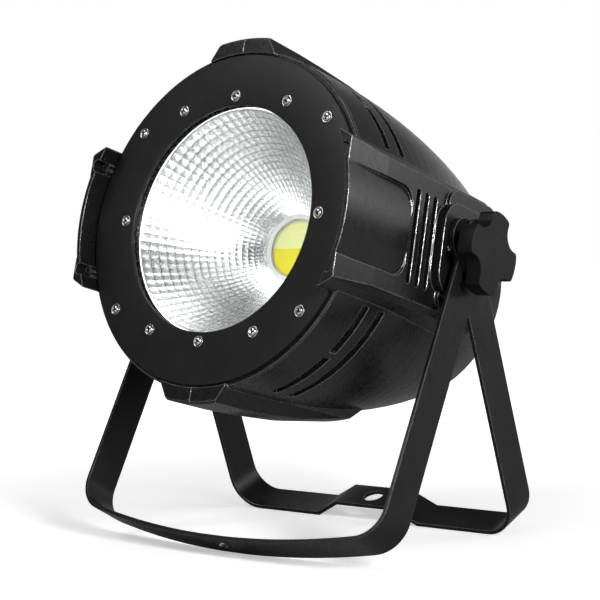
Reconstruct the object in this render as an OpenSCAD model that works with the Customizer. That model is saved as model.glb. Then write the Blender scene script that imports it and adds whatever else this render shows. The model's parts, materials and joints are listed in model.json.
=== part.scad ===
// LED par light with a deep reflector, a clamshell housing and two U brackets.
// Millimetres, +Z up. The light faces -Y and the origin is on the floor, at the
// middle of the outer box. Parts of the head are drawn in the optical frame:
// X across, Y up and Z forward along the beam, with the tilt axis at the origin.

/* [Head] */
// Outside diameter of the front ring
ring_d = 240; // [236:0.5:242]
// Diameter of the clear opening in the front ring
opening_d = 165; // [150:1:166]
// Angle of the beam above the horizontal, at rest
head_tilt = 14.6; // [5:0.1:20]
// Radius of the round housing
body_r = 123.7; // [123:0.1:123.8]
// Radius of the ridges along the top and the bottom
ridge_r = 133; // [130:0.5:136]
// Distance from the tilt axis to the rear rim
rear_d = 128; // [128:0.5:129]
// Thickness of the housing wall
wall = 3; // [2.5:0.1:3.5]

/* [Brackets] */
// Width of the flat steel strap
strap_w = 30; // [28:1:32]
// Thickness of the flat steel strap
strap_t = 3; // [2.5:0.1:3]
// Forward lean of the front bracket
front_lean = 29.2; // [27:0.1:30]
// Tilt axis to the bottom of the front bracket
front_len = 232.5; // [232:0.5:234]
// Tilt axis to the bottom of the rear bracket
rear_len = 218; // [217:0.5:219]
// Mounting hole of the front bracket
front_hole_d = 14; // [12:0.5:16]
// Mounting hole of the rear bracket
rear_hole_d = 16; // [12:0.5:18]

/* [Knobs] */
// Radius over the four lobes
knob_r = 29.5; // [28:0.5:32]
// Backward turn of the lobes from the axes of the head
knob_turn = 9; // [0:1:45]

/* [Hidden] */

fine = 96;
eps = 0.01;
ring_r = ring_d / 2;
opening_r = opening_d / 2;

// Depths along the beam, measured forward from the tilt axis
ring_front = 115;
ring_back = 112;
lip_front = 130;
flange_back = 106;
glass_t = 3.6;
glass_front = 111;
rim_z = glass_front - glass_t;
cob_z = 26;
sink_front = 22;
sink_back = 14;
fin_back = -25;
plate_t = 3;
fan_back = fin_back - 25;
bracket_z = -62;
panel_face = -126;
panel_t = 2;
board_z = -114;

// Rims and steps of the round housing
dome_start = 75;
dome_depth = 286;
rear_chamfer = 4;
lip_inner_r = ring_r + 1.5;
panel_arc_r = 124.6;
panel_half_h = 31.5;
panel_rear = 57;
box_x = 124;
box_half_h = 44;
platform_x = 127;
platform_rear = -45;
platform_front = 17;
pad_x = 131.7;
pad_half_d = 26.5;
pad_half_h = 33.5;
panel_r = 80;
seat_r = 70;

// Stack of the tilt joint, outward from the pad
friction_t = 1.3;
gap = 0.3;
yoke_washer_t = 1.1;
rear_in_x = pad_x + friction_t + gap;
rear_out_x = rear_in_x + strap_t;
front_in_x = rear_out_x + yoke_washer_t + gap;
front_out_x = front_in_x + strap_t;
knob_x = front_out_x + gap;
flange_t = 5;
lobe_t = 12;
knob_face_x = knob_x + flange_t + lobe_t;
stud_r = 5;
stud_clear = 0.06;
tip_rise = 11;

// Bends of the brackets
bend_r = 25;
bow_r = 630;
joggle_h = 11.5;
joggle_in = 27;
joggle_out = 48;

// Where the tilt axis lies
pivot_h = front_len * cos(front_lean) + strap_w / 2 * sin(front_lean);
rear_lean = atan2(strap_w / 2, rear_len) + acos(pivot_h / norm([rear_len, strap_w / 2]));
ridge_edge = 1.5;
eye_y = 64;
eye_reach = 13;
eye_wire_r = 2;
front_y = -ring_front * cos(head_tilt) - (ridge_r - ridge_edge) * sin(head_tilt);
rear_y = (eye_reach - eye_wire_r - panel_face) * cos(head_tilt) + eye_y * sin(head_tilt) + eye_wire_r;
pivot_y = -(front_y + rear_y) / 2;

// Fastener and feature positions
ring_screw_at = [
    for (sx = [-1, 1], sy = [-1, 1], p = [[48.3, 81.7], [86, 67.1]]) [sx * p[0], sy * p[1]],
    [0, 89.3], [0, -89.3], [90.2, 0], [-90.2, 0]
];
lip_screw_at = [for (sx = [-1, 1], sy = [-1, 1]) [sx * 115.5, sy * 39.5]];
shell_screw_at = [for (sy = [-1, 1], z = [60, 95]) [sy * 126, z]];
pad_screw_d = 16.5;
sink_screw_r = 66;
fan_half = 46;
fan_screw_at = 41;
panel_screw_r = 75;
board_hole = [31, 17];
board_y = 42;
display_y = 49;
button_y = 28;
button_pitch = 14;
button_r = 4;
button_travel = 1;
dmx_x = 30;
dmx_y = -2;
power_x = 30;
power_y = -43;
socket_half = [13, 15.5];
fuse_y = -25;
side_vent_front = [54, 43.5, 33];
side_vent_w = 5;
arc_vent_z = [72.5, 54];
arc_vent_w = 7;
arc_vent_a = [26.5, 70.5];

// ---------------------------------------------------------------- helpers

function arc_pts(c, r, a0, a1, n) =
    [for (i = [0:n]) let (a = a0 + (a1 - a0) * i / n) [c[0] + r * cos(a), c[1] + r * sin(a)]];

// The same arc without its first point, to follow on from another
function arc_tail(c, r, a0, a1, n) = arc_pts(c, r, a0 + (a1 - a0) / n, a1, n - 1);

function backward(pts) = [for (i = [len(pts) - 1:-1:0]) pts[i]];

// The four corners of a square of half side a
function square_at(a) = [for (sx = [-1, 1], sy = [-1, 1]) [sx * a, sy * a]];

// The whole U from its right half
function both_halves(pts) = concat([for (p = backward(pts)) [-p[0], p[1]]], pts);

// Outer radius of the housing at depth z
function dome_r(z) = z > dome_start ? body_r
    : body_r * sqrt(1 - pow((dome_start - z) / dome_depth, 2));

// Inner radius of the reflector at depth z
function bowl_r(z) = let (neck = 26, mouth = opening_r + 0.5, z0 = cob_z + 2)
    sqrt(neck * neck + (mouth * mouth - neck * neck) * (z - z0) / (rim_z - 1 - z0));

// Places the optical frame in the part
module head_pose() translate([0, pivot_y, pivot_h]) rotate([90 - head_tilt, 0, 0]) children();

module revolve(pts, n = fine) rotate_extrude($fn = n) polygon(pts);

module ring(r_out, r_in, z0, z1) translate([0, 0, z0]) difference() {
    cylinder(r = r_out, h = z1 - z0, $fn = fine);
    translate([0, 0, -1]) cylinder(r = r_in, h = z1 - z0 + 2, $fn = fine);
}

module disc(r, z0, z1) translate([0, 0, z0]) cylinder(r = r, h = z1 - z0, $fn = fine);

module rounded_rect(w, h, r) {
    square([w - 2 * r, h], center = true);
    square([w, h - 2 * r], center = true);
    for (sx = [-1, 1], sy = [-1, 1]) translate([sx * (w / 2 - r), sy * (h / 2 - r)]) circle(r, $fn = 32);
}

// A slab across X with rounded corners, from x0 to x1
module side_slab(x0, x1, half_d, half_h, r) translate([x0, 0, 0]) rotate([0, 90, 0])
    linear_extrude(x1 - x0) rounded_rect(2 * half_d, 2 * half_h, r);

module rod_x(r, x0, x1) translate([x0, 0, 0]) rotate([0, 90, 0]) cylinder(r = r, h = x1 - x0, $fn = 48);

module box(x0, x1, y0, y1, z0, z1) translate([x0, y0, z0]) cube([x1 - x0, y1 - y0, z1 - z0]);

// Pan-head cross-recess screw pointing to -Z, with the underside of its head at z = 0
module pan_screw(r, length, head_r, head_h) difference() {
    union() {
        translate([0, 0, -length]) cylinder(r = r, h = length, $fn = 24);
        cylinder(r = head_r, h = head_h * 0.55, $fn = 32);
        translate([0, 0, head_h * 0.55]) cylinder(r1 = head_r, r2 = head_r * 0.62, h = head_h * 0.45, $fn = 32);
    }
    for (a = [0, 90]) rotate(a) translate([-head_r * 0.5, -head_r * 0.13, head_h * 0.45])
        cube([head_r, head_r * 0.26, head_h]);
}

module screws_at(points, z, r, length, head_r, head_h) for (p = points)
    translate([p[0], p[1], z]) pan_screw(r, length, head_r, head_h);

module holes_at(points, z0, z1, r) for (p = points)
    translate([p[0], p[1], z0]) cylinder(r = r, h = z1 - z0, $fn = 24);

// ---------------------------------------------------------------- brackets

// Half of the front strap's surface, set in from its outer face by o
function bow_half(o) = let (
        cx = front_out_x - bend_r,
        zb = bow_r - front_len,
        beta = asin(cx / (bow_r - bend_r)),
        cz = zb - sqrt(pow(bow_r - bend_r, 2) - cx * cx))
    concat(
        arc_pts([0, zb], bow_r - o, -90 + beta / 10, -90 + beta, 9),
        arc_pts([cx, cz], bend_r - o, -90 + beta, 0, 12),
        [[front_out_x - o, tip_rise + strap_w / 2]]);

// Half of the rear strap's surface, with its raised middle
function joggle_half(o) = let (
        cx = rear_out_x - bend_r,
        riser = atan2(joggle_h, joggle_out - joggle_in),
        shift = o * tan(riser / 2))
    concat(
        [[joggle_in + shift, -rear_len + joggle_h + o], [joggle_out + shift, -rear_len + o]],
        arc_pts([cx, bend_r - rear_len], bend_r - o, -90, 0, 12),
        [[rear_out_x - o, tip_rise + strap_w / 2]]);

// Strap bent to a U, with its round tips past the tilt axis
module strap(outer, inner, hole_r, hole_z) difference() {
    intersection() {
        translate([0, strap_w / 2, 0]) rotate([90, 0, 0]) linear_extrude(strap_w)
            polygon(concat(both_halves(outer), backward(both_halves(inner))));
        rotate([90, 0, 90]) translate([0, 0, -200]) linear_extrude(400) union() {
            translate([-strap_w / 2, -300]) square([strap_w, 300 + tip_rise]);
            translate([0, tip_rise]) circle(strap_w / 2, $fn = fine);
        }
    }
    rod_x(stud_r + stud_clear, -200, 200);
    translate([0, 0, hole_z - 10]) cylinder(r = hole_r, h = 20, $fn = 48);
}

module front_yoke() color("#17181a") translate([0, pivot_y, pivot_h]) rotate([-front_lean, 0, 0])
    strap(bow_half(0), bow_half(strap_t), front_hole_d / 2, -front_len);

module rear_yoke() color("#17181a") translate([0, pivot_y, pivot_h]) rotate([rear_lean, 0, 0])
    strap(joggle_half(0), joggle_half(strap_t), rear_hole_d / 2, -rear_len + joggle_h);

// A ring round the tilt axis on one side of the head
module pivot_ring(side, r_out, r_in, x0, x1) head_pose() mirror([side < 0 ? 1 : 0, 0, 0]) difference() {
    rod_x(r_out, x0, x1);
    rod_x(r_in, x0 - 1, x1 + 1);
}

module yoke_washer(side) color("#dcdcd6") pivot_ring(side, 11, stud_r + 0.5, rear_out_x, front_in_x - gap);
module yoke_washer_left() yoke_washer(-1);
module yoke_washer_right() yoke_washer(1);

module friction_washer(side) color("#3a3a3a")
    pivot_ring(side, 12, stud_r + stud_clear, pad_x, pad_x + friction_t);
module friction_washer_left() friction_washer(-1);
module friction_washer_right() friction_washer(1);

// ---------------------------------------------------------------- tilt knobs and their studs

stud_in_x = 113;
stud_head_r = 8;

module knob(side) color("#121212") head_pose() mirror([side < 0 ? 1 : 0, 0, 0])
    translate([knob_x, 0, 0]) rotate([0, 90, 0]) difference() {
        union() {
            cylinder(r = 19.6, h = flange_t, $fn = fine);
            rotate(90 - knob_turn) translate([0, 0, flange_t]) linear_extrude(lobe_t) knob_outline();
        }
        translate([0, 0, -1]) cylinder(r = stud_r, h = flange_t + 9, $fn = 48);
        translate([0, 0, flange_t]) cylinder(r = stud_head_r, h = 4, $fn = 6);
    }

// A round grip with four hollows, its corners rounded where the hollows meet the rim
module knob_outline() {
    hollow_r = 12;
    hollow_at = 32;
    corner_r = 3;
    at = knob_r - corner_r;
    half = 45 - acos((at * at + pow(hollow_at, 2) - pow(hollow_r + corner_r, 2)) / (2 * at * hollow_at));
    hollow = hollow_at * [cos(45), sin(45)];
    corner = at * [cos(half), sin(half)];
    turn = atan2(hollow[1] - corner[1], hollow[0] - corner[0]);
    quarter = concat(
        arc_tail([0, 0], knob_r, -half, half, 8),
        arc_tail(corner, corner_r, half, turn, 4),
        arc_tail(hollow, hollow_r, turn + 180, 270 - turn, 10),
        arc_tail([corner[1], corner[0]], corner_r, 90 - turn, 90 - half, 4));
    polygon([for (q = [0:90:270], p = quarter)
        [p[0] * cos(q) - p[1] * sin(q), p[0] * sin(q) + p[1] * cos(q)]]);
}

module knob_left() knob(-1);
module knob_right() knob(1);

// Threaded stud moulded into the knob by its hexagon head
module stud(side) color("#b9bcc0") head_pose() mirror([side < 0 ? 1 : 0, 0, 0]) {
    rod_x(stud_r, stud_in_x, knob_x + flange_t);
    translate([knob_x + flange_t, 0, 0]) rotate([0, 90, 0]) cylinder(r = stud_head_r, h = 4, $fn = 6);
}
module stud_left() stud(-1);
module stud_right() stud(1);

insert_r = 9;
insert_in_x = 112;

module pivot_insert(side) color("#c8a64b") pivot_ring(side, insert_r, stud_r + stud_clear, insert_in_x, pad_x);
module pivot_insert_left() pivot_insert(-1);
module pivot_insert_right() pivot_insert(1);

module pad_screws() color("#d8dadd") head_pose() for (side = [0, 1], s = [-1, 1])
    mirror([side, 0, 0]) translate([pad_x, 0, s * pad_screw_d]) rotate([0, 90, 0]) pan_screw(1.5, 9, 3.2, 1.2);

// ---------------------------------------------------------------- housing

// Round shell from the rear rim to the front flange, as radius and depth
module shell_outside() revolve(concat(
    [[0, -rear_d], [dome_r(-rear_d + rear_chamfer) - rear_chamfer, -rear_d]],
    arc_pts([dome_r(-rear_d + rear_chamfer) - rear_chamfer, -rear_d + rear_chamfer], rear_chamfer, -72, -12, 4),
    [for (z = [-rear_d + rear_chamfer:13:dome_start - 1]) [dome_r(z), z]],
    [[body_r, dome_start], [body_r, ring_back - 1], [body_r - 1, ring_back], [0, ring_back]]));

module shell_inside() {
    groove = [sink_back - plate_t, sink_back];
    rib_r = 112;
    revolve(concat(
        [[0, -rear_d - 1], [panel_r + 0.3, -rear_d - 1], [panel_r + 0.3, panel_face + panel_t],
         [seat_r, panel_face + panel_t], [seat_r, panel_face + panel_t + 3]],
        [for (z = [panel_face + panel_t + 6:13:groove[0] - 4]) [dome_r(z) - wall, z]],
        [[dome_r(0) - wall, groove[0] - 3], [rib_r, groove[0] - 3], [rib_r, groove[0]],
         [118, groove[0]], [118, groove[1]], [rib_r, groove[1]], [rib_r, groove[1] + 3]],
        [for (z = [groove[1] + 3:14:dome_start + 3]) [dome_r(z) - wall, z]],
        [[body_r - wall, dome_start + 7], [body_r - wall, flange_back],
         [86.6, flange_back], [86.6, ring_back + 1], [0, ring_back + 1]]));
}

// Ridge along the top, which slopes into the dome behind the tilt axis
module ridge() intersection() {
    revolve([[100, -46], [112, -46], [122, -30], [129.5, 20], [132, 55], [ridge_r, 80], [ridge_r, ring_front - ridge_edge],
             [ridge_r - ridge_edge, ring_front], [100, ring_front]]);
    translate([0, 0, -50]) linear_extrude(170)
        polygon([[-30, 90], [-30, 119], [-22.5, 131.2], [-22.5, 140],
                 [22.5, 140], [22.5, 131.2], [30, 119], [30, 90]]);
}

// Squared cheek on the right, with the wall that guides a filter frame
module cheek() {
    difference() {
        translate([0, 0, -40]) linear_extrude(lip_front + 40)
            polygon([[95, -54], [108.5, -54], [119.5, -48.5], [box_x, -box_half_h],
                     [box_x, box_half_h], [119.5, 48.5], [108.5, 54], [95, 54]]);
        translate([121, -60, lip_front]) rotate([0, -4.3, 0]) translate([0, 0, -60]) cube([20, 120, 70]);
        panel_cut();
    }
    intersection() {
        translate([0, 0, panel_rear]) cylinder(r = panel_arc_r, h = lip_front - panel_rear, $fn = fine);
        panel_slab(90, 140);
    }
    translate([0, 0, (platform_front + platform_rear) / 2])
        side_slab(110, platform_x, (platform_front - platform_rear) / 2, box_half_h, 10);
}

// Outline of the side panel: square in front and rounded at the rear
module panel_slab(x0, x1) {
    corner = 12;
    box(x0, x1, -panel_half_h, panel_half_h, panel_rear + corner, lip_front + 1);
    box(x0, x1, -panel_half_h + corner, panel_half_h - corner, panel_rear, panel_rear + corner + eps);
    for (s = [-1, 1]) translate([0, s * (panel_half_h - corner), panel_rear + corner]) rod_x(corner, x0, x1);
}

// Step that lowers the panel below the flat of the cheek
module panel_cut() difference() {
    panel_slab(90, 140);
    translate([0, 0, panel_rear - 1]) cylinder(r = panel_arc_r, h = lip_front, $fn = fine);
}

// Slots that follow the round shell, above and below the cheek
module arc_vents() {
    bridge = [45, 47.5];
    spans = [
        [arc_vent_z[0], arc_vent_a[0], bridge[0]],
        [arc_vent_z[0], bridge[1], arc_vent_a[1]],
        [arc_vent_z[1], arc_vent_a[0], arc_vent_a[1]]
    ];
    for (s = [0, 1], v = spans) mirror([0, s, 0]) rotate(v[1])
        rotate_extrude(angle = v[2] - v[1], $fn = fine) translate([110, v[0]]) square([20, arc_vent_w]);
}

// Right half of the clamshell, drilled along X at each shell screw by its children
module half_housing() difference() {
    intersection() {
        union() {
            difference() {
                union() {
                    shell_outside();
                    ridge();
                    mirror([0, 1, 0]) ridge();
                    cheek();
                    side_slab(118, pad_x, pad_half_d, pad_half_h, 17);
                }
                shell_inside();
                disc(lip_inner_r, ring_back, lip_front + 1);
            }
            rod_x(10.7, 106, 122);
            difference() {
                holes_at(lip_screw_at, 105, 120, 4.4);
                disc(ring_r + 0.3, ring_back, lip_front);
            }
        }
        box(0, 200, -200, 200, -200, 200);
    }
    rod_x(insert_r, 108, pad_x + 1);
    for (p = [-1, 1]) translate([0, 0, p * pad_screw_d]) rod_x(1.5, pad_x - 9, pad_x + 1);
    for (p = shell_screw_at) translate([0, p[0], p[1]]) children();
    for (z = side_vent_front) translate([0, 0, z - side_vent_w / 2]) {
        box(104, 140, -31, 31, -side_vent_w / 2, side_vent_w / 2);
        for (s = [-1, 1]) translate([0, s * 31, 0]) rod_x(side_vent_w / 2, 104, 140);
    }
    arc_vents();
    holes_at(ring_screw_at, ring_back - 11, ring_back + 1, 2);
    holes_at(lip_screw_at, 108, 121, 1.6);
    holes_at(lip_screw_at, 120, lip_front + 1, 4.4);
    holes_at(panel_screw_points, panel_face, panel_face + 8, 1.6);
}

panel_screw_points = [for (i = [0:5]) panel_screw_r * [cos(30 + i * 60), sin(30 + i * 60)]];

module housing_right() color("#1b1c1e") head_pose() half_housing() rod_x(2, -1, 12);
module housing_left() color("#1b1c1e") head_pose() mirror([1, 0, 0]) half_housing() {
    rod_x(2.2, -1, 19);
    rod_x(4.4, 18, 40);
}

module shell_screws() color("#8f9398") head_pose() for (p = shell_screw_at)
    translate([-18, p[0], p[1]]) rotate([0, -90, 0]) pan_screw(2, 30, 4, 2.2);

module lip_screws() color("#2b2b2b") head_pose() screws_at(lip_screw_at, 120, 1.6, 11, 3.4, 1.8);

// ---------------------------------------------------------------- front optics

module front_ring() color("#141516") head_pose() difference() {
    revolve([[opening_r, ring_back], [ring_r, ring_back], [ring_r, ring_front - 0.8],
             [ring_r - 0.8, ring_front], [opening_r + 0.6, ring_front], [opening_r, ring_front - 0.6]]);
    holes_at(ring_screw_at, ring_back - 1, ring_front + 1, 2.3);
}

module ring_screws() color("#d8dadd") head_pose() screws_at(ring_screw_at, ring_front, 2, 13, 3.9, 2.2);

module lens_gasket() color("#0c0c0c") head_pose() ring(86.4, opening_r + 0.8, glass_front, ring_back);

module lens_glass() color("#e8f2f4", 0.3) head_pose() disc(86.2, rim_z, glass_front);

module reflector() color("#dfe3e6") head_pose() {
    skin = 1.2;
    steps = 10;
    z0 = cob_z + 2;
    z1 = rim_z - 1;
    depths = [for (i = [0:steps]) z0 + (z1 - z0) * pow(i / steps, 1.4)];
    revolve(concat(
        [for (z = depths) [bowl_r(z), z]],
        [[bowl_r(z1), rim_z], [86.2, rim_z], [86.2, z1], [bowl_r(z1) + skin, z1]],
        [for (i = [steps - 1:-1:0]) [bowl_r(depths[i]) + skin, depths[i]]]));
}

// White collar that holds the emitter down and centres the neck of the reflector
module cob_holder() color("#f2f2ef") head_pose() difference() {
    revolve([[25, sink_front + 3.2], [22.6, 26.4], [22.6, 27.4], [27.5, cob_z + 2], [38, cob_z + 2],
             [40, 26], [40, sink_front], [38.6, sink_front], [38.6, sink_front + 3.2]]);
    holes_at(holder_screw_at, sink_front - 1, 40, 1.6);
}
holder_screw_at = [[33, 0], [-33, 0]];
module holder_screws() color("#c9ccd0") head_pose() screws_at(holder_screw_at, cob_z + 2, 1.6, 11, 2.6, 1.4);

led_r = 21.5;
module cob_board() color("#e9e6dc") head_pose() difference() {
    box(-26, 26, -26, 26, sink_front + 0.4, sink_front + 2.4);
    disc(led_r, sink_front + 1.9, sink_front + 3);
}
module led_half(y0) head_pose() intersection() {
    disc(led_r, sink_front + 1.9, sink_front + 3.2);
    box(-led_r, led_r, y0, y0 + led_r, 0, 60);
}
module cob_cool_half() color("#eef2b4") led_half(0);
module cob_warm_half() color("#f5e23a") led_half(-led_r);
module thermal_pad() color("#9aa0a6") head_pose() box(-26, 26, -26, 26, sink_front, sink_front + 0.4);

// ---------------------------------------------------------------- cooling

sink_screw_at = sink_screw_r * [[0.8, 0.6], [-0.8, 0.6], [0.8, -0.6], [-0.8, -0.6]];
fin_count = 15;
fin_pitch = 9;
fin_t = 2;

module heat_sink() color("#b4b8bc") head_pose() difference() {
    union() {
        disc(74, sink_back, sink_front);
        intersection() {
            disc(58, fin_back, sink_back + 1);
            for (i = [0:fin_count - 1])
                translate([(i - (fin_count - 1) / 2) * fin_pitch - fin_t / 2, -70, fin_back])
                    cube([fin_t, 140, sink_back - fin_back + 1]);
        }
        holes_at(square_at(fan_screw_at), fin_back, sink_back + 1, 3.6);
    }
    holes_at(square_at(fan_screw_at), fin_back - 1, fin_back + 12, 2);
    holes_at(sink_screw_at, sink_back - 1, sink_front + 1, 2.2);
    holes_at(holder_screw_at, sink_back + 3, sink_front + 1, 1.6);
}

module heat_sink_screws() color("#8f9398") head_pose() screws_at(sink_screw_at, sink_front, 2, 12, 3.5, 2);

module chassis_plate() color("#a9adb2") head_pose() difference() {
    ring(117.8, 62.5, sink_back - plate_t, sink_back);
    holes_at(sink_screw_at, sink_back - plate_t - 1, sink_back + 1, 2);
    holes_at(bracket_screw_at, sink_back - plate_t - 1, sink_back + 1, 1.6);
}

fan_bore_r = 44.5;
fan_pin_r = 1.5;
fan_hub_r = 18;

module fan_frame() color("#101010") head_pose() difference() {
    union() {
        difference() {
            translate([0, 0, fan_back]) linear_extrude(fin_back - fan_back)
                rounded_rect(2 * fan_half, 2 * fan_half, 5);
            disc(fan_bore_r, fan_back - 1, fin_back + 1);
        }
        disc(fan_hub_r, fan_back, fan_back + 3);
        for (a = [0, 90, 180, 270]) rotate(a) box(fan_hub_r - 1, fan_bore_r + 1, -2, 2, fan_back, fan_back + 3);
        disc(fan_pin_r, fan_back, fin_back - 6);
    }
    holes_at(square_at(fan_screw_at), fan_back - 1, fin_back + 1, 2.2);
}

module fan_rotor() color("#1d1d1f") head_pose() {
    blades = 7;
    z0 = fan_back + 4;
    z1 = fin_back - 3;
    difference() {
        disc(fan_hub_r + 1, z0, z1);
        disc(fan_pin_r + 0.05, z0 - 1, fin_back - 5.5);
    }
    intersection() {
        ring(fan_bore_r - 1.5, fan_hub_r, z0, z1);
        for (i = [0:blades - 1]) rotate(i * 360 / blades)
            translate([fan_hub_r - 1, 0, (z0 + z1) / 2]) rotate([35, 0, 0])
                translate([0, -11, -0.8]) cube([30, 22, 1.6]);
    }
}

module fan_screws() color("#8f9398") head_pose() for (p = square_at(fan_screw_at))
    translate([p[0], p[1], fan_back]) mirror([0, 0, 1]) pan_screw(2, fin_back - fan_back + 11, 3.5, 2);

// ---------------------------------------------------------------- power and control

leg_x = 82;
bracket_screw_at = [for (sx = [-1, 1], y = [-18, 18]) [sx * 92, y]];

// Sheet-metal bridge behind the fan, which carries the power supply
module driver_bracket() color("#c3c6c9") head_pose() difference() {
    union() {
        box(-leg_x, leg_x, -58, 50, bracket_z, bracket_z + 2);
        for (s = [0, 1]) mirror([s, 0, 0]) {
            box(leg_x - 2, leg_x, -28, 28, bracket_z, sink_back - plate_t);
            box(leg_x - 2, leg_x + 18, -28, 28, sink_back - plate_t - 2, sink_back - plate_t);
        }
    }
    holes_at(bracket_screw_at, sink_back - plate_t - 3, sink_back, 1.6);
    holes_at(supply_screw_at, bracket_z - 1, bracket_z + 3, 1.6);
    disc(40, bracket_z - 1, bracket_z + 3);
}
module bracket_screws() color("#8f9398") head_pose() for (p = bracket_screw_at)
    translate([p[0], p[1], sink_back - plate_t - 2]) mirror([0, 0, 1]) pan_screw(1.6, 4.5, 3, 1.6);

supply_screw_at = [for (sx = [-1, 1], y = [-52, 10]) [sx * 62, y]];
module power_supply() color("#c9cccf") head_pose() difference() {
    union() {
        box(-56, 56, -56, 14, bracket_z - 34, bracket_z);
        box(-68, 68, -56, 14, bracket_z - 1.5, bracket_z);
    }
    box(-54.5, 54.5, -54.5, 12.5, bracket_z - 32.5, bracket_z - 1.5);
    holes_at(supply_screw_at, bracket_z - 3, bracket_z + 1, 1.6);
    for (i = [-5:5], y = [-44, -8]) box(i * 9 - 2, i * 9 + 2, y, y + 10, bracket_z - 35, bracket_z - 32);
}
module supply_screws() color("#8f9398") head_pose() for (p = supply_screw_at)
    translate([p[0], p[1], bracket_z - 1.5]) mirror([0, 0, 1]) pan_screw(1.6, 3.4, 3, 1.6);

socket_at = [[-dmx_x, dmx_y], [dmx_x, dmx_y], [-power_x, power_y], [power_x, power_y]];
socket_screw_at = [for (p = socket_at, s = [-1, 1]) p + s * [9.5, 12]];
board_hole_at = [for (sx = [-1, 1], sy = [-1, 1]) [sx * board_hole[0], board_y + sy * board_hole[1]]];
button_x = [for (i = [0:3]) (i - 1.5) * button_pitch];

module rear_panel() color("#1a1b1d") head_pose() difference() {
    disc(panel_r, panel_face, panel_face + panel_t);
    holes_at(panel_screw_points, panel_face - 1, panel_face + panel_t + 1, 1.9);
    holes_at(socket_at, panel_face - 1, panel_face + panel_t + 1, 12.1);
    holes_at(socket_screw_at, panel_face - 1, panel_face + panel_t + 1, 1.5);
    holes_at([for (x = button_x) [x, button_y]], panel_face - 1, panel_face + panel_t + 1, button_r + 0.3);
    holes_at([[0, fuse_y]], panel_face - 1, panel_face + panel_t + 1, 6.5);
    holes_at([[-7, eye_y], [7, eye_y]], panel_face - 1, panel_face + panel_t + 1, eye_wire_r);
    box(-23, 23, display_y - 11, display_y + 11, panel_face - 1, panel_face + panel_t + 1);
    for (s = [-1, 1], i = [0:3]) translate([s * (54 + i * 6), -6, panel_face - 1])
        linear_extrude(panel_t + 2) rounded_rect(2.6, 38 - i * 6, 1.2);
}
module panel_screws() color("#2b2b2b") head_pose() for (p = panel_screw_points)
    translate([p[0], p[1], panel_face]) mirror([0, 0, 1]) pan_screw(1.6, 9, 3, 1.6);

module control_board() color("#1f5a34") head_pose() difference() {
    box(-36, 36, board_y - 21, board_y + 21, board_z, board_z + 1.6);
    holes_at(board_hole_at, board_z - 1, board_z + 3, 1.6);
}
module board_spacers() color("#c8a64b") head_pose() for (p = board_hole_at) translate([p[0], p[1], 0]) {
    disc(3, panel_face + panel_t, board_z);
    disc(1.6, board_z - eps, board_z + 1.6);
}
module display_module() color("#26282b") head_pose()
    box(-25, 25, display_y - 9, display_y + 9, panel_face + panel_t, board_z);
module display_window() color("#31110f") head_pose()
    box(-23, 23, display_y - 11, display_y + 11, panel_face - 0.6, panel_face + panel_t);
module button_switches() color("#303236") head_pose() for (x = button_x) {
    box(x - 3, x + 3, button_y - 3, button_y + 3, board_z - 3.5, board_z);
    translate([x, button_y, 0]) disc(1.5, board_z - 4.2, board_z - 3.5);
}

// Cap that passes through the panel and rests just off its switch
module button(i) color("#cfd1d4") head_pose() translate([button_x[i], button_y, 0]) {
    disc(button_r, panel_face - 2.6, board_z - 4.2 - button_travel - 0.4);
    disc(button_r + 1.2, panel_face + panel_t + 0.3, panel_face + panel_t + 1.5);
}
module button_menu() button(0);
module button_up() button(1);
module button_down() button(2);
module button_enter() button(3);

// ---------------------------------------------------------------- sockets

socket_depth = 20;

module socket_body(p, holes) translate([p[0], p[1], 0]) difference() {
    union() {
        disc(12, panel_face, panel_face + socket_depth);
        translate([0, 0, panel_face - 2]) linear_extrude(2)
            rounded_rect(2 * socket_half[0], 2 * socket_half[1], 2.5);
    }
    for (s = [-1, 1]) translate([s * 9.5, s * 12, panel_face - 3]) cylinder(r = 1.5, h = 4, $fn = 24);
    children();
}

// Three pins in a round well
module dmx_in_socket() color("#202124") head_pose() {
    socket_body([-dmx_x, dmx_y]) disc(9.6, panel_face - 3, panel_face + socket_depth - 3);
    for (a = [0, 120, 240]) translate([-dmx_x, dmx_y, 0]) rotate(a) translate([4.2, 0, 0])
        disc(1.2, panel_face + 6, panel_face + socket_depth - 2);
}

module dmx_out_socket() color("#202124") head_pose() socket_body([dmx_x, dmx_y]) {
    difference() {
        disc(9.6, panel_face - 3, panel_face + socket_depth - 3);
        disc(7.6, panel_face - 1, panel_face + socket_depth);
        translate([-4.5, 7, panel_face - 4]) cube([9, 6, 12]);
    }
    for (a = [0, 120, 240]) rotate(a) translate([4.2, 0, 0]) disc(1.3, panel_face - 3, panel_face + 12);
    translate([-4.3, 7.6, panel_face - 3]) cube([8.6, 3, 9]);
}

// Push tab that frees a plugged connector
module dmx_latch() color("#b7babd") head_pose() translate([dmx_x, dmx_y, 0])
    box(-4, 4, 8, 10.2, panel_face - 3.4, panel_face + 3);

module power_socket(x) socket_body([x, power_y]) difference() {
    disc(10.4, panel_face - 3, panel_face + socket_depth - 3);
    disc(5, panel_face + 6, panel_face + socket_depth);
}
module power_in_socket() color("#2456b8") head_pose() power_socket(-power_x);
module power_out_socket() color("#d6d8da") head_pose() power_socket(power_x);

module socket_screws() color("#2b2b2b") head_pose() for (p = socket_screw_at)
    translate([p[0], p[1], panel_face - 2]) mirror([0, 0, 1]) pan_screw(1.5, 6, 2.6, 1.4);

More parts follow.
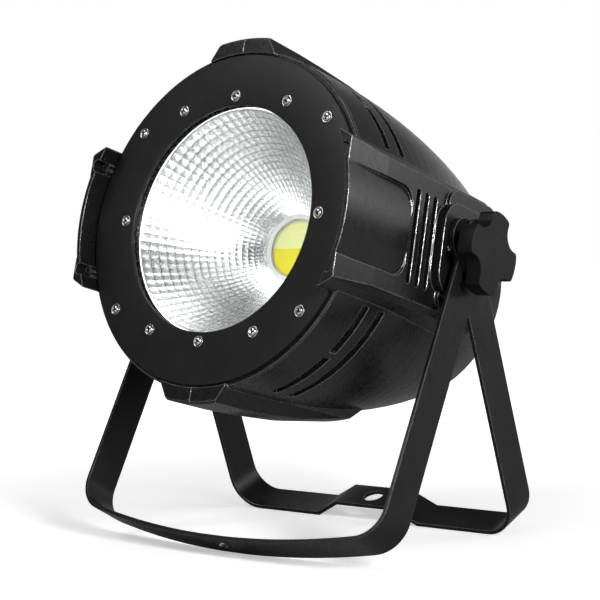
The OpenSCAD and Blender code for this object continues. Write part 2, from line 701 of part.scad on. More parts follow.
module fuse_holder() color("#151515") head_pose() translate([0, fuse_y, 0]) difference() {
    union() {
        disc(6.5, panel_face, panel_face + socket_depth);
        disc(8.5, panel_face - 1.5, panel_face);
    }
    disc(5, panel_face - 2, panel_face + 10);
}
module fuse_cap() color("#1c1c1c") head_pose() translate([0, fuse_y, 0]) difference() {
    union() {
        disc(7.5, panel_face - 6, panel_face - 1.8);
        disc(4.95, panel_face - 2, panel_face + 9);
    }
    box(-6, 6, -0.8, 0.8, panel_face - 7, panel_face - 4.6);
}

// Wire loop for a safety cable
module safety_eye() color("#c2c5c9") head_pose() translate([0, eye_y, 0]) {
    for (s = [-1, 1]) translate([s * 7, 0, 0]) disc(eye_wire_r, panel_face - eye_reach + 9, panel_face + panel_t + 3);
    translate([0, 0, panel_face - eye_reach + 9]) rotate([-90, 0, 0])
        rotate_extrude(angle = 180, $fn = 64) translate([7, 0]) circle(eye_wire_r, $fn = 32);
}

// ---------------------------------------------------------------- assembly

front_yoke();
rear_yoke();
yoke_washer_left();
yoke_washer_right();
friction_washer_left();
friction_washer_right();
knob_left();
knob_right();
stud_left();
stud_right();
pivot_insert_left();
pivot_insert_right();
pad_screws();
housing_left();
housing_right();
shell_screws();
lip_screws();
front_ring();
ring_screws();
lens_gasket();
lens_glass();
reflector();
cob_holder();
holder_screws();
cob_board();
cob_cool_half();
cob_warm_half();
thermal_pad();
heat_sink();
heat_sink_screws();
chassis_plate();
fan_frame();
fan_rotor();
fan_screws();
driver_bracket();
bracket_screws();
power_supply();
supply_screws();
rear_panel();
panel_screws();
control_board();
board_spacers();
display_module();
display_window();
button_switches();
button_menu();
button_up();
button_down();
button_enter();
dmx_in_socket();
dmx_out_socket();
dmx_latch();
power_in_socket();
power_out_socket();
socket_screws();
fuse_holder();
fuse_cap();
safety_eye();
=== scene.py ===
import json
import math

import bmesh
import bpy
from mathutils import Matrix, Vector


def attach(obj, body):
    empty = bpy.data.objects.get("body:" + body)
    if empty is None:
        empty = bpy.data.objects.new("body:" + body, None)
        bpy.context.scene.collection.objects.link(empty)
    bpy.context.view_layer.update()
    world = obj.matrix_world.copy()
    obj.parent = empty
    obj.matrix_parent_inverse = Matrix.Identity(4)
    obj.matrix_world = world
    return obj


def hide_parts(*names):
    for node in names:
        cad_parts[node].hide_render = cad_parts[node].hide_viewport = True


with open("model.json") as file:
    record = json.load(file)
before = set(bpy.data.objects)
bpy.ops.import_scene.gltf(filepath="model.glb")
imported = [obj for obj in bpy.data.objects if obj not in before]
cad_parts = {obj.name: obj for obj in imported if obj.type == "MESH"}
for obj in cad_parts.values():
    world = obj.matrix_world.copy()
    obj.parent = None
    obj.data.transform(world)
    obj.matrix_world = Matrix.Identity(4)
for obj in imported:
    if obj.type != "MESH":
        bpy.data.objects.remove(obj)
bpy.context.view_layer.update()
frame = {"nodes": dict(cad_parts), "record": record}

MM = 0.001
JOINTS = {j["name"]: j for j in frame["record"]["behaviour"]["joints"]}
PIVOT = Vector(JOINTS["head_tilt"]["pos_m"]) / MM
beam = Vector(JOINTS["fan_spin"]["axis"])
TILT = math.atan2(beam.z, -beam.y)
# Optical frame to the row frame: X across, Y up, Z forward along the beam
HEAD = Matrix.Translation(PIVOT) @ Matrix.Rotation(math.pi / 2 - TILT, 4, "X")


# ------------------------------------------------------------------ camera

def place(name, data):
    """A new object in the scene."""
    obj = bpy.data.objects.new(name, data)
    bpy.context.scene.collection.objects.link(obj)
    return obj


YAW, PITCH, ROLL = math.radians(38.71), math.radians(1.58), math.radians(-1.05)
FROM_PIVOT = Vector((720.1, -919.0, -0.6))  # from the pivot to the camera, in mm
cam_data = bpy.data.cameras.new("camera")
cam_data.sensor_width = 36
cam_data.lens = 92.088
cam_data.clip_start, cam_data.clip_end = 0.05, 100
cam = place("camera", cam_data)
fwd = Vector((-math.sin(YAW) * math.cos(PITCH), math.cos(YAW) * math.cos(PITCH), -math.sin(PITCH)))
right = Vector((math.cos(YAW), math.sin(YAW), 0))
up = right.cross(fwd)
side = right * math.cos(ROLL) + up * math.sin(ROLL)
top = -right * math.sin(ROLL) + up * math.cos(ROLL)
aim = Matrix((side, top, -fwd)).transposed().to_4x4()
cam.matrix_world = Matrix.Translation((PIVOT + FROM_PIVOT) * MM) @ aim
bpy.context.scene.camera = cam


# ------------------------------------------------------------------ materials

def node_mat(name):
    m = bpy.data.materials.new(name)
    m.use_nodes = True
    nt = m.node_tree
    bsdf = nt.nodes["Principled BSDF"]
    return m, nt, bsdf


def link(nt, a, b):
    nt.links.new(a, b)


def noise_node(nt, coord, scale, detail=3.0, rough=0.55, stretch=None):
    n = nt.nodes.new("ShaderNodeTexNoise")
    n.inputs["Scale"].default_value = scale
    n.inputs["Detail"].default_value = detail
    n.inputs["Roughness"].default_value = rough
    if stretch:
        mp = nt.nodes.new("ShaderNodeMapping")
        mp.inputs["Scale"].default_value = stretch
        link(nt, coord, mp.inputs["Vector"])
        coord = mp.outputs["Vector"]
    link(nt, coord, n.inputs["Vector"])
    return n.outputs["Fac"]


def remap(nt, value, a, b, lo, hi):
    n = nt.nodes.new("ShaderNodeMapRange")
    n.inputs["From Min"].default_value, n.inputs["From Max"].default_value = a, b
    n.inputs["To Min"].default_value, n.inputs["To Max"].default_value = lo, hi
    link(nt, value, n.inputs["Value"])
    return n.outputs["Result"]


def mix_rgb(nt, fac, a, b):
    n = nt.nodes.new("ShaderNodeMix")
    n.data_type = "RGBA"
    link(nt, fac, n.inputs["Factor"])
    for socket, v in ((n.inputs["A"], a), (n.inputs["B"], b)):
        if isinstance(v, (tuple, list)):
            socket.default_value = (*v, 1)
        else:
            link(nt, v, socket)
    return n.outputs["Result"]


def multiply(nt, a, b):
    n = nt.nodes.new("ShaderNodeMath")
    n.operation = "MULTIPLY"
    link(nt, a, n.inputs[0])
    link(nt, b, n.inputs[1])
    return n.outputs[0]


DUST_COLOUR = (0.35, 0.34, 0.32)
BUMP_DEPTH = 0.0001


def surface(name, base, base2, rough, rough2, grain=0.0, grain_scale=1800, bevel=0.0, wear_and_highlight=None,
            wear_and_highlight_amount=0.0, metallic=0.0, spec=0.5, coat=0.0, mottling=28, stretch=None, dust=0.0,
            mark=None):
    """A procedural surface: mottled colour and gloss, fine grain, rounded edges with a lighter colour that
    is partly wear and partly a painted highlight, a little dust.

    Colour and roughness each go from a first value to a second. A mark is the name of a mesh attribute
    and the colour that it gives."""
    m, nt, bsdf = node_mat(name)
    coord = nt.nodes.new("ShaderNodeTexCoord").outputs["Object"]
    big = noise_node(nt, coord, mottling, 4, 0.6)
    colour = mix_rgb(nt, remap(nt, big, 0.35, 0.65, 0, 1), base, base2)
    gloss = remap(nt, noise_node(nt, coord, mottling * 7, 5, 0.65, stretch), 0.3, 0.7, rough, rough2)
    normal = None
    if bevel:
        b = nt.nodes.new("ShaderNodeBevel")
        b.samples = 4
        b.inputs["Radius"].default_value = bevel
        normal = b.outputs["Normal"]
        if wear_and_highlight:
            geo = nt.nodes.new("ShaderNodeNewGeometry")
            dot = nt.nodes.new("ShaderNodeVectorMath")
            dot.operation = "DOT_PRODUCT"
            link(nt, normal, dot.inputs[0])
            link(nt, geo.outputs["Normal"], dot.inputs[1])
            # Painted highlight and wear: the rounded edges take a lighter colour and turn metallic
            edge = remap(nt, dot.outputs["Value"], 0.99, 0.8, 0, wear_and_highlight_amount)
            patches = remap(nt, noise_node(nt, coord, 110, 4, 0.7), 0.34, 0.58, 0.25, 1)
            worn_and_highlit = multiply(nt, edge, patches)
            colour = mix_rgb(nt, worn_and_highlit, colour, wear_and_highlight)
            link(nt, worn_and_highlit, bsdf.inputs["Metallic"])
    if dust:
        speck = remap(nt, noise_node(nt, coord, 900, 2, 0.5), 0.68, 0.76, 0, dust)
        colour = mix_rgb(nt, speck, colour, DUST_COLOUR)
    if mark:
        attr = nt.nodes.new("ShaderNodeAttribute")
        attr.attribute_name = mark[0]
        colour = mix_rgb(nt, remap(nt, attr.outputs["Fac"], 0.25, 0.75, 0, 1), colour, mark[1])
    link(nt, colour, bsdf.inputs["Base Color"])
    link(nt, gloss, bsdf.inputs["Roughness"])
    if grain:
        bump = nt.nodes.new("ShaderNodeBump")
        bump.inputs["Strength"].default_value = grain
        bump.inputs["Distance"].default_value = BUMP_DEPTH
        link(nt, noise_node(nt, coord, grain_scale, 3, 0.6, stretch), bump.inputs["Height"])
        if normal:
            link(nt, normal, bump.inputs["Normal"])
        normal = bump.outputs["Normal"]
    if normal:
        link(nt, normal, bsdf.inputs["Normal"])
    bsdf.inputs["Metallic"].default_value = metallic
    bsdf.inputs["Specular IOR Level"].default_value = spec
    bsdf.inputs["Coat Weight"].default_value = coat
    bsdf.inputs["Coat Roughness"].default_value = 0.15
    return m


# The lighter colour on the edges is partly wear and partly a painted highlight, most of all on the plastic
# shell
M = {
    "shell": surface("shell_plastic", (0.006, 0.006, 0.0065), (0.008, 0.008, 0.0085), 0.2, 0.32, grain=0.08,
                     grain_scale=2600, bevel=0.0011, wear_and_highlight=(0.5, 0.5, 0.52), wear_and_highlight_amount=0.9, spec=0.42,
                     dust=0.04),
    "ring": surface("ring_paint", (0.007, 0.007, 0.0075), (0.010, 0.010, 0.0105), 0.34, 0.44, grain=0.2,
                    grain_scale=2300, wear_and_highlight=(0.35, 0.35, 0.36), bevel=0.0006, wear_and_highlight_amount=0.4, dust=0.05,
                    spec=0.25),
    "yoke": surface("yoke_paint", (0.006, 0.006, 0.0065), (0.010, 0.010, 0.0105), 0.26, 0.4, grain=0.24,
                    grain_scale=2100, bevel=0.0007, wear_and_highlight=(0.6, 0.6, 0.61), wear_and_highlight_amount=0.9, dust=0.05,
                    spec=0.26),
    "knob": surface("knob_nylon", (0.005, 0.005, 0.005), (0.008, 0.008, 0.008), 0.36, 0.48, grain=0.2,
                    grain_scale=2800, bevel=0.0008, wear_and_highlight=(0.1, 0.1, 0.1), wear_and_highlight_amount=0.4, spec=0.16),
    # The mark on the screws is painted shade in the cross recess and the groove of the head
    "chrome": surface("chrome_screws", (0.66, 0.67, 0.69), (0.5, 0.51, 0.53), 0.16, 0.3, metallic=1.0,
                      mottling=260, bevel=0.0002, mark=("recess", (0.02, 0.02, 0.022))),
    "zinc": surface("zinc_steel", (0.62, 0.63, 0.66), (0.5, 0.51, 0.53), 0.24, 0.4, metallic=1.0,
                    mottling=150, bevel=0.0003),
    "black_screw": surface("black_screws", (0.02, 0.02, 0.022), (0.035, 0.035, 0.036), 0.3, 0.45,
                           metallic=0.6, mottling=200, bevel=0.0002),
    "brass": surface("turned_brass", (0.72, 0.52, 0.2), (0.6, 0.42, 0.16), 0.22, 0.36, metallic=1.0,
                     mottling=120, bevel=0.0003),
    "rubber": surface("seal_rubber", (0.012, 0.012, 0.012), (0.02, 0.02, 0.02), 0.6, 0.75, grain=0.3,
                      grain_scale=1500, spec=0.3),
    "friction": surface("friction_fibre", (0.03, 0.028, 0.026), (0.06, 0.055, 0.05), 0.7, 0.85, grain=0.5,
                        grain_scale=1200, spec=0.3),
    "nylon": surface("washer_nylon", (0.62, 0.61, 0.57), (0.55, 0.54, 0.5), 0.4, 0.5, grain=0.1),
    "white": surface("white_holder", (0.84, 0.84, 0.82), (0.78, 0.78, 0.76), 0.35, 0.45, grain=0.08,
                     bevel=0.0003),
    "ceramic": surface("cob_ceramic", (0.86, 0.86, 0.82), (0.8, 0.8, 0.76), 0.45, 0.55, grain=0.06),
    "pad": surface("thermal_pad", (0.42, 0.44, 0.47), (0.36, 0.38, 0.41), 0.7, 0.8, grain=0.2),
    "aluminium": surface("bare_aluminium", (0.66, 0.67, 0.69), (0.56, 0.57, 0.6), 0.28, 0.46, metallic=1.0,
                         grain=0.12, mottling=60, stretch=(1, 1, 14), bevel=0.0003),
    "sheet": surface("galvanised_sheet", (0.55, 0.56, 0.58), (0.42, 0.43, 0.46), 0.3, 0.5, metallic=1.0,
                     mottling=90, bevel=0.0003),
    "fan": surface("fan_plastic", (0.014, 0.014, 0.015), (0.02, 0.02, 0.021), 0.4, 0.5, grain=0.15,
                   bevel=0.0004),
    "panel": surface("panel_paint", (0.012, 0.012, 0.013), (0.018, 0.018, 0.019), 0.45, 0.58, grain=0.4,
                     grain_scale=1700, bevel=0.0003, wear_and_highlight=(0.2, 0.2, 0.2), wear_and_highlight_amount=0.3, dust=0.05),
    "circuit": surface("circuit_board", (0.01, 0.09, 0.035), (0.012, 0.12, 0.05), 0.3, 0.4, mottling=160),
    "display": surface("display_case", (0.012, 0.012, 0.013), (0.02, 0.02, 0.02), 0.25, 0.35),
    "window": surface("display_window", (0.05, 0.004, 0.004), (0.065, 0.006, 0.005), 0.06, 0.12, coat=0.5,
                      bevel=0.0003),
    "switch": surface("switch_body", (0.03, 0.03, 0.034), (0.04, 0.04, 0.045), 0.35, 0.45),
    "cap": surface("button_cap", (0.34, 0.35, 0.37), (0.3, 0.31, 0.33), 0.3, 0.4, grain=0.08, bevel=0.0005),
    "socket": surface("socket_black", (0.014, 0.014, 0.014), (0.02, 0.02, 0.02), 0.35, 0.48, grain=0.15,
                      bevel=0.0004, wear_and_highlight=(0.1, 0.1, 0.1), wear_and_highlight_amount=0.3),
    "blue": surface("socket_blue", (0.01, 0.055, 0.32), (0.012, 0.07, 0.36), 0.35, 0.45, grain=0.12,
                    bevel=0.0004),
    "grey": surface("socket_grey", (0.42, 0.43, 0.45), (0.36, 0.37, 0.39), 0.35, 0.45, grain=0.12,
                    bevel=0.0004),
    # The mark on the mirror is painted shade in the creases between the facets
    "mirror": surface("reflector_mirror", (0.95, 0.95, 0.955), (0.9, 0.9, 0.905), 0.2, 0.3, metallic=1.0,
                      mottling=90, mark=("facet_edge_shade", (0.2, 0.2, 0.205))),
    "cool": surface("phosphor_cool", (0.82, 0.84, 0.33), (0.86, 0.88, 0.40), 0.4, 0.5, grain=0.3,
                    grain_scale=3000, mottling=300),
    "warm": surface("phosphor_warm", (0.80, 0.69, 0.008), (0.84, 0.73, 0.014), 0.4, 0.5, grain=0.3,
                    grain_scale=3000, mottling=300),
}


def glass_mat():
    m, nt, bsdf = node_mat("clear_glass")
    coord = nt.nodes.new("ShaderNodeTexCoord").outputs["Object"]
    link(nt, remap(nt, noise_node(nt, coord, 60, 4, 0.6), 0.3, 0.7, 0.01, 0.04), bsdf.inputs["Roughness"])
    bsdf.inputs["Base Color"].default_value = (0.95, 0.97, 0.97, 1)
    clear = nt.nodes.new("ShaderNodeBsdfTransparent")
    clear.inputs["Color"].default_value = (0.98, 0.99, 0.985, 1)
    fres = nt.nodes.new("ShaderNodeFresnel")
    fres.inputs["IOR"].default_value = 1.35
    # Only the face turned to the ray reflects, or a slanting look would meet a mirror on the way out
    outer = remap(nt, nt.nodes.new("ShaderNodeNewGeometry").outputs["Backfacing"], 0, 1, 1, 0)
    mix = nt.nodes.new("ShaderNodeMixShader")
    bsdf.inputs["Metallic"].default_value = 1.0
    link(nt, multiply(nt, fres.outputs[0], outer), mix.inputs[0])
    link(nt, clear.outputs[0], mix.inputs[1])
    link(nt, bsdf.outputs[0], mix.inputs[2])
    link(nt, mix.outputs[0], nt.nodes["Material Output"].inputs["Surface"])
    return m


M["glass"] = glass_mat()

NODE_MATS = {
    "front_yoke": "yoke", "rear_yoke": "yoke", "yoke_washer_left": "nylon", "yoke_washer_right": "nylon",
    "friction_washer_left": "friction", "friction_washer_right": "friction", "knob_left": "knob",
    "knob_right": "knob", "stud_left": "zinc", "stud_right": "zinc", "pivot_insert_left": "brass",
    "pivot_insert_right": "brass", "pad_screws": "chrome", "housing_left": "shell", "housing_right": "shell",
    "shell_screws": "zinc", "lip_screws": "black_screw", "front_ring": "ring", "ring_screws": "chrome",
    "lens_gasket": "rubber", "lens_glass": "glass", "reflector": "mirror", "cob_holder": "white",
    "holder_screws": "zinc", "cob_board": "ceramic", "cob_cool_half": "cool", "cob_warm_half": "warm",
    "thermal_pad": "pad", "heat_sink": "aluminium", "heat_sink_screws": "zinc", "chassis_plate": "sheet",
    "fan_frame": "fan", "fan_rotor": "fan", "fan_screws": "zinc", "driver_bracket": "sheet",
    "bracket_screws": "zinc", "power_supply": "aluminium", "supply_screws": "zinc", "rear_panel": "panel",
    "panel_screws": "black_screw", "control_board": "circuit", "board_spacers": "brass",
    "display_module": "display", "display_window": "window", "button_switches": "switch",
    "button_menu": "cap", "button_up": "cap", "button_down": "cap", "button_enter": "cap",
    "dmx_in_socket": "socket",
    "dmx_out_socket": "socket", "dmx_latch": "zinc", "power_in_socket": "blue", "power_out_socket": "grey",
    "socket_screws": "black_screw", "fuse_holder": "socket", "fuse_cap": "socket", "safety_eye": "zinc",
}
BODY = {n: b for b, nodes in frame["record"]["behaviour"]["bodies"].items() for n in nodes}

for node, obj in frame["nodes"].items():
    obj.data.materials.clear()
    obj.data.materials.append(M[NODE_MATS[node]])


# ------------------------------------------------------------------ mesh helpers

def stand_for(obj, node):
    """The piece takes a CAD node's material and place, and rides on its body."""
    for p in obj.data.polygons:
        p.use_smooth = True
    obj.data.materials.append(M[NODE_MATS[node]])
    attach(obj, BODY[node])
    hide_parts(node)


def split_edges(obj, degrees):
    obj.modifiers.new("split", "EDGE_SPLIT").split_angle = math.radians(degrees)


def add(name, verts, faces, node):
    """A new piece, in millimetres in the optical frame, that stands for a CAD node."""
    mesh = bpy.data.meshes.new(name)
    mesh.from_pydata([(HEAD @ Vector(v)) * MM for v in verts], [], faces)
    mesh.validate()
    mesh.update()
    obj = place(name, mesh)
    stand_for(obj, node)
    return obj


def revolve(profile, steps, closed=True):
    """Vertices and faces of (radius, depth) points turned round the optical axis."""
    verts, faces = [], []
    n = len(profile)
    for i in range(steps):
        a = 2 * math.pi * i / steps
        verts += [(r * math.cos(a), r * math.sin(a), z) for r, z in profile]
    for i in range(steps):
        j = (i + 1) % steps
        for k in range(n if closed else n - 1):
            m = (k + 1) % n
            faces.append((i * n + k, i * n + m, j * n + m, j * n + k))
    return verts, faces


NEARLY_STRAIGHT = 3.0


def fillet(points, radius, steps=4):
    """A closed outline with each corner rounded, except where two sides all but run on in line."""
    out = []
    n = len(points)
    for i in range(n):
        a, b, c = (Vector(points[(i + k) % n]) for k in (-1, 0, 1))
        u, v = (a - b).normalized(), (c - b).normalized()
        ang = u.angle(v)
        if ang > NEARLY_STRAIGHT:
            out.append(tuple(b))
            continue
        d = min(radius / math.tan(ang / 2), (a - b).length * 0.45, (c - b).length * 0.45)
        p, q = b + u * d, b + v * d
        for k in range(steps + 1):
            t = k / steps
            out.append(tuple(p * (1 - t) ** 2 + b * 2 * t * (1 - t) + q * t * t))
    return out


WELD, FLAT_DEG, SHARP_DEG = 2e-6, 0.6, 32


def softened(name, node, width, segments=2):
    """A copy of a CAD node with real rounded edges."""
    mesh = frame["nodes"][node].data.copy()
    bm = bmesh.new()
    bm.from_mesh(mesh)
    bmesh.ops.remove_doubles(bm, verts=bm.verts, dist=WELD)
    bmesh.ops.dissolve_limit(bm, angle_limit=math.radians(FLAT_DEG), verts=bm.verts, edges=bm.edges)
    bm.to_mesh(mesh)
    bm.free()
    if "custom_normal" in mesh.attributes:
        mesh.attributes.remove(mesh.attributes["custom_normal"])
    mesh.materials.clear()
    obj = place(name, mesh)
    bev = obj.modifiers.new("edge", "BEVEL")
    bev.width, bev.segments = width * MM, segments
    bev.limit_method, bev.angle_limit = "ANGLE", math.radians(SHARP_DEG)
    bev.harden_normals = True
    bev.use_clamp_overlap = True
    stand_for(obj, node)


# ------------------------------------------------------------------ brackets and knobs

softened("front_bracket", "front_yoke", 0.7)
softened("rear_bracket", "rear_yoke", 0.7)
softened("tilt_knob_left", "knob_left", 1.4, segments=3)
softened("tilt_knob_right", "knob_right", 1.4, segments=3)


# ------------------------------------------------------------------ front ring and reflector

RING_OPENING_R, RING_R, RING_BACK, RING_FACE = 82.5, 120, 112, 115


def front_ring():
    outline = fillet([(RING_OPENING_R, RING_BACK), (RING_R, RING_BACK), (RING_R, RING_FACE),
                      (RING_OPENING_R, RING_FACE)], 0.8)
    v, f = revolve(outline, 256)
    add("front_bezel", v, f, "front_ring")


def reflector():
    """Facets in rings that open out towards the mouth, each one pillowed and with painted shade in the
    crease round it.
    """
    z0, z1, neck, mouth = 28.0, 106.4, 26.0, 81.3
    rings, spokes, smooth_rings = 18, 78, 2
    growth, pillow, skin = 1.45, 0.0045, 1.2
    flange_r, flange_back, flange_front = 86.2, 106.5, 107.3

    def radius(z):
        return math.sqrt(neck ** 2 + (mouth ** 2 - neck ** 2) * (z - z0) / (z1 - z0))

    grid = (0.0, 0.055, 0.3, 0.5, 0.7, 0.945, 1.0)
    n = len(grid)
    zs = [z0 + (z1 - z0) * (i / rings) ** growth for i in range(rings + 1)]
    verts, faces, crease_shade = [], [], []
    for i in range(rings):
        smooth = i < smooth_rings
        for j in range(spokes):
            base = len(verts)
            for u in grid:
                for w in grid:
                    z = zs[i] + (zs[i + 1] - zs[i]) * u
                    ang = 2 * math.pi * (j + w) / spokes
                    ra, rb = radius(zs[i]), radius(zs[i + 1])
                    flat = ra + (rb - ra) * u
                    chord = math.cos(math.pi / spokes) / math.cos(math.pi / spokes * (2 * w - 1))
                    bulge = 16 * u * (1 - u) * w * (1 - w) * flat * pillow
                    r = flat if smooth else flat * chord - bulge
                    verts.append((r * math.cos(ang), r * math.sin(ang), z))
                    # Painted shade on the edges of every facet
                    crease_shade.append(0.0 if smooth else float(u in (0.0, 1.0) or w in (0.0, 1.0)))
            for a in range(n - 1):
                for b in range(n - 1):
                    k = base + a * n + b
                    faces.append((k, k + 1, k + n + 1, k + n))
    outer = [(flange_r, flange_front), (flange_r, flange_back)]
    outer += [(radius(z) + skin, z) for z in reversed(zs[:-1])]
    v, f = revolve([(mouth, z1), (mouth + 0.3, z1 + 0.7)] + outer + [(neck, z0)], 96, closed=False)
    first = len(verts)
    verts += v
    crease_shade += [0.0] * len(v)
    faces += [tuple(k + first for k in q) for q in f]
    obj = add("faceted_reflector", verts, faces, "reflector")
    obj.data.attributes.new("facet_edge_shade", "FLOAT", "POINT").data.foreach_set("value", crease_shade)
    return obj


def solid(obj):
    """The mesh that an object's modifiers make, and the object is removed."""
    dg = bpy.context.evaluated_depsgraph_get()
    mesh = bpy.data.meshes.new_from_object(obj.evaluated_get(dg))
    bpy.data.objects.remove(obj)
    return mesh


def loose(name, verts, faces):
    mesh = bpy.data.meshes.new(name)
    mesh.from_pydata(verts, [], faces)
    return place(name, mesh)


def screw_shape(head_r, head_h, shaft_r, length):
    """A cross-recess pan head, its underside at z = 0, with a plain shaft below."""
    dome = [(0.0, 1.0), (0.28, 0.98), (0.48, 0.92), (0.62, 0.8), (0.7, 0.62), (0.73, 0.45), (0.775, 0.36),
            (0.83, 0.42), (0.9, 0.46), (0.96, 0.42), (1.0, 0.25), (1.0, 0.03)]
    profile = [(r * head_r, z * head_h) for r, z in dome]
    profile[0] = (0.02, head_h)
    profile += [(head_r * 0.95, 0), (shaft_r, 0), (shaft_r, -length), (0.02, -length)]
    steps = 48
    v, f = revolve(profile, steps, closed=False)
    n = len(profile)
    f.append(tuple(i * n for i in range(steps)))
    f.append(tuple(i * n + n - 1 for i in reversed(range(steps))))
    body = loose("screw", v, f)
    half, thin, deep = head_r * 0.58, head_r * 0.15, head_h * 0.94
    for turn in (0, math.pi / 2):
        pts = []
        for z, kx, ky in ((head_h + 0.5, 1.08, 1.1), (head_h - deep, 0.42, 0.6)):
            for sx, sy in ((-1, -1), (1, -1), (1, 1), (-1, 1)):
                x, y = sx * half * kx, sy * thin * ky
                pts.append((x * math.cos(turn) - y * math.sin(turn),
                            x * math.sin(turn) + y * math.cos(turn), z))
        sides = [(k, k + 4, (k + 1) % 4 + 4, (k + 1) % 4) for k in range(4)]
        cut = loose("cut", pts, [(0, 1, 2, 3), (7, 6, 5, 4)] + sides)
        mod = body.modifiers.new("cut", "BOOLEAN")
        mod.operation, mod.object, mod.solver = "DIFFERENCE", cut, "EXACT"
        mesh = solid(body)
        bpy.data.objects.remove(cut)
        body = place("screw", mesh)
    mesh = body.data
    bpy.data.objects.remove(body)
    return [tuple(p.co) for p in mesh.vertices], [tuple(p.vertices) for p in mesh.polygons]


def screws(name, node, places, head_r, head_h, shaft_r, length):
    """Screws at (point, direction of the head, turn of the recess) in the optical frame."""
    v0, f0 = screw_shape(head_r, head_h, shaft_r, length)
    verts, faces = [], []
    for point, direction, turn in places:
        aim = Vector(direction).to_track_quat("Z", "Y").to_matrix().to_4x4()
        m = Matrix.Translation(Vector(point)) @ aim @ Matrix.Rotation(math.radians(turn), 4, "Z")
        n = len(verts)
        verts += [tuple(m @ Vector(v)) for v in v0]
        faces += [tuple(i + n for i in f) for f in f0]
    obj = add(name, verts, faces, node)
    # Painted shade: a dark colour in the recess and in the groove inside the rim of the head
    recess_r, recess_top, groove_in, groove_out = 0.66, 0.78, 0.72, 0.8
    reach = [(math.hypot(x, y) / head_r, z / head_h) for x, y, z in v0]
    painted_recess_shade = [float((r < recess_r and 0 < z < recess_top) or groove_in < r < groove_out)
            for r, z in reach] * len(places)
    obj.data.attributes.new("recess", "FLOAT", "POINT").data.foreach_set("value", painted_recess_shade)
    split_edges(obj, 38)


def emitter_half(name, node, sign):
    """Half of the round phosphor pool, with a meniscus at its rim."""
    radius, low, high, rings, steps = 21.4, 23.95, 25.2, 14, 48
    sag, edge_drop, edge_width = 0.28, 0.5, 0.07
    verts, faces = [], []
    for level in (1, 0):
        for i in range(rings + 1):
            out = i / rings
            dip = sag * (1 - out ** 4)
            edge = edge_drop * max(0, out - (1 - edge_width)) / edge_width
            z = high - dip - edge if level else low
            for k in range(steps + 1):
                a = math.pi * k / steps * sign
                verts.append((radius * out * math.cos(a), radius * out * math.sin(a), z))
    row, sheet = steps + 1, (rings + 1) * (steps + 1)
    for level in (0, 1):
        for i in range(rings):
            for k in range(steps):
                q = level * sheet + i * row + k
                face = (q, q + row, q + row + 1, q + 1)
                faces.append(face[:1] + face[:0:-1] if level else face)
    for k in range(steps):
        q = rings * row + k
        faces.append((q, q + sheet, q + sheet + 1, q + 1))
    for k in (0, steps):
        for i in range(rings):
            q = i * row + k
            faces.append((q, q + sheet, q + sheet + row, q + row))
    obj = add(name, verts, faces, node)
    bm = bmesh.new()
    bm.from_mesh(obj.data)
    bmesh.ops.remove_doubles(bm, verts=bm.verts, dist=1e-6)
    bmesh.ops.recalc_face_normals(bm, faces=bm.faces)
    bm.to_mesh(obj.data)
    bm.free()
    split_edges(obj, 45)


def holder():
    """The collar round the emitter, with soft steps."""
    outline = fillet([(25.0, 25.3), (22.6, 26.2), (22.6, 27.3), (23.8, 27.3), (24.2, 27.9), (25.7, 27.9),
                      (25.9, 27.6), (27.4, 27.6), (28.2, 28.0), (37.4, 28.0), (39.9, 26.2), (39.9, 22.05),
                      (38.7, 22.05), (38.7, 25.3)], 0.3, 3)
    v, f = revolve(outline, 128)
    add("emitter_holder", v, f, "cob_holder")


front_ring()
mirror = reflector()
emitter_half("emitter_upper", "cob_cool_half", 1)
emitter_half("emitter_lower", "cob_warm_half", -1)
holder()

# Each screw's recess is turned by its own amount, as hand-driven screws are
PAD_FACE, PAD_SCREW_Z = 131.7, 16.5
ring_at = [(sx * x, sy * y) for x, y in ((48.3, 81.7), (86.0, 67.1)) for sx in (-1, 1) for sy in (-1, 1)]
ring_at += [(0, 89.3), (0, -89.3), (90.2, 0), (-90.2, 0)]
screws("bezel_screws", "ring_screws",
       [((x, y, RING_FACE), (0, 0, 1), 37 * i + 20) for i, (x, y) in enumerate(ring_at)],
       head_r=4.2, head_h=2.2, shaft_r=2.0, length=13)
screws("side_pad_screws", "pad_screws",
       [((sx * PAD_FACE, 0, sz * PAD_SCREW_Z), (sx, 0, 0), 30 * sx + sz * PAD_SCREW_Z)
        for sx in (-1, 1) for sz in (-1, 1)],
       head_r=3.2, head_h=1.2, shaft_r=1.5, length=9)


# ------------------------------------------------------------------ studio

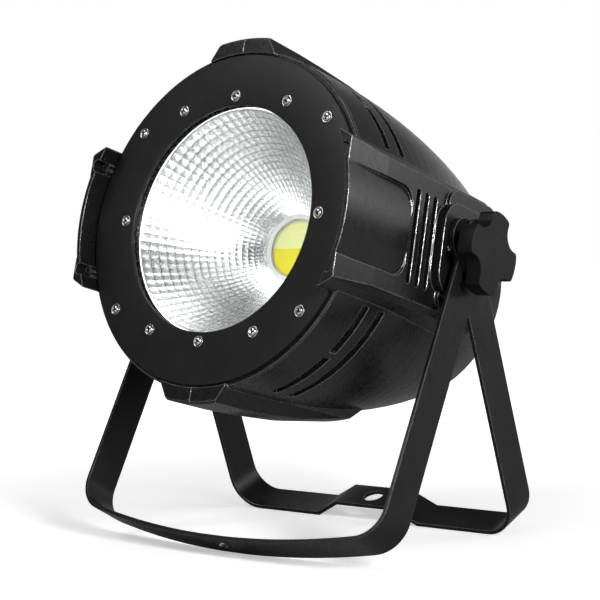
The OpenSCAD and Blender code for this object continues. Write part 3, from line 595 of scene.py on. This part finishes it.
def floor():
    """A pale disc that runs far past the view."""
    steps, rings = 96, (0.4, 1, 3, 8, 25)
    verts, faces = [(0, 0, 0)], []
    for r in rings:
        verts += [(r * math.cos(2 * math.pi * i / steps), r * math.sin(2 * math.pi * i / steps), 0)
                  for i in range(steps)]
    for i in range(steps):
        j = (i + 1) % steps
        faces.append((0, 1 + i, 1 + j))
        for k in range(len(rings) - 1):
            a, b = 1 + k * steps, 1 + (k + 1) * steps
            faces.append((a + i, b + i, b + j, a + j))
    obj = loose("floor", verts, faces)
    m, nt, bsdf = node_mat("pale_floor")
    coord = nt.nodes.new("ShaderNodeTexCoord").outputs["Object"]
    seen = nt.nodes.new("ShaderNodeLightPath").outputs["Is Camera Ray"]
    pale = mix_rgb(nt, noise_node(nt, coord, 3, 3), (0.93, 0.93, 0.93), (0.96, 0.96, 0.96))
    link(nt, mix_rgb(nt, seen, (0.42, 0.42, 0.42), pale), bsdf.inputs["Base Color"])
    # The floor grows lighter with distance until it meets the backdrop
    away = nt.nodes.new("ShaderNodeVectorMath")
    away.operation = "LENGTH"
    link(nt, coord, away.inputs[0])
    far = remap(nt, away.outputs["Value"], 0.15, 0.9, 0.4, 1.0)
    link(nt, multiply(nt, far, seen), bsdf.inputs["Emission Color"])
    bsdf.inputs["Roughness"].default_value = 0.9
    bsdf.inputs["Specular IOR Level"].default_value = 0.1
    bsdf.inputs["Emission Strength"].default_value = 1.0
    obj.data.materials.append(m)


def area(name, location, target, size, power, size_y=None):
    data = bpy.data.lights.new(name, "AREA")
    data.shape = "RECTANGLE"
    data.size, data.size_y = size, size_y or size
    data.energy = power
    obj = place(name, data)
    obj.location = location
    obj.rotation_mode = "QUATERNION"
    obj.rotation_quaternion = (Vector(target) - Vector(location)).to_track_quat("-Z", "Y")
    return obj


floor()
world = bpy.data.worlds.new("studio")
world.use_nodes = True
wt = world.node_tree
ray = wt.nodes.new("ShaderNodeTexCoord")
axes = wt.nodes.new("ShaderNodeSeparateXYZ")
link(wt, ray.outputs["Generated"], axes.inputs[0])
# A room whose lit end is low and behind the part; the camera sees a plain white backdrop
behind = remap(wt, axes.outputs["Y"], -0.55, 0.25, 0.16, 1.0)
low = remap(wt, axes.outputs["Z"], 0.0, 0.4, 1.0, 0.13)
seen = wt.nodes.new("ShaderNodeLightPath").outputs["Is Camera Ray"]
colour = mix_rgb(wt, seen, multiply(wt, behind, low), (1.0, 1.0, 1.0))
link(wt, colour, wt.nodes["Background"].inputs["Color"])
wt.nodes["Background"].inputs["Strength"].default_value = 1.0
bpy.context.scene.world = world
MIDDLE, MOUTH = (0, 0, 0.2), (0, -0.1, 0.25)
area("key", (-0.9, -1.5, 1.9), MIDDLE, 0.8, 14)
area("side", (1.6, 1.3, 0.9), MIDDLE, 1.0, 8)
area("front", (-0.15, -1.7, 0.7), MOUTH, 1.5, 8)
area("edge", (1.36, -0.62, 0.68), MIDDLE, 0.35, 22, 0.5)
# Wide soft lights for the mirror alone, in front, to the side and behind
bowl_lit = bpy.data.collections.new("bowl_lit")
bowl_lit.objects.link(mirror)
for bowl in (area("bowl_front", (-0.6, -1.9, 0.8), MOUTH, 3.2, 105),
             area("bowl_side", (2.0, -1.0, 0.38), MOUTH, 2.2, 12, 0.7),
             area("bowl_back", (0.4, 1.9, 0.5), MOUTH, 3.2, 90)):
    bowl.light_linking.receiver_collection = bowl_lit
bpy.context.scene.view_settings.view_transform = "Standard"
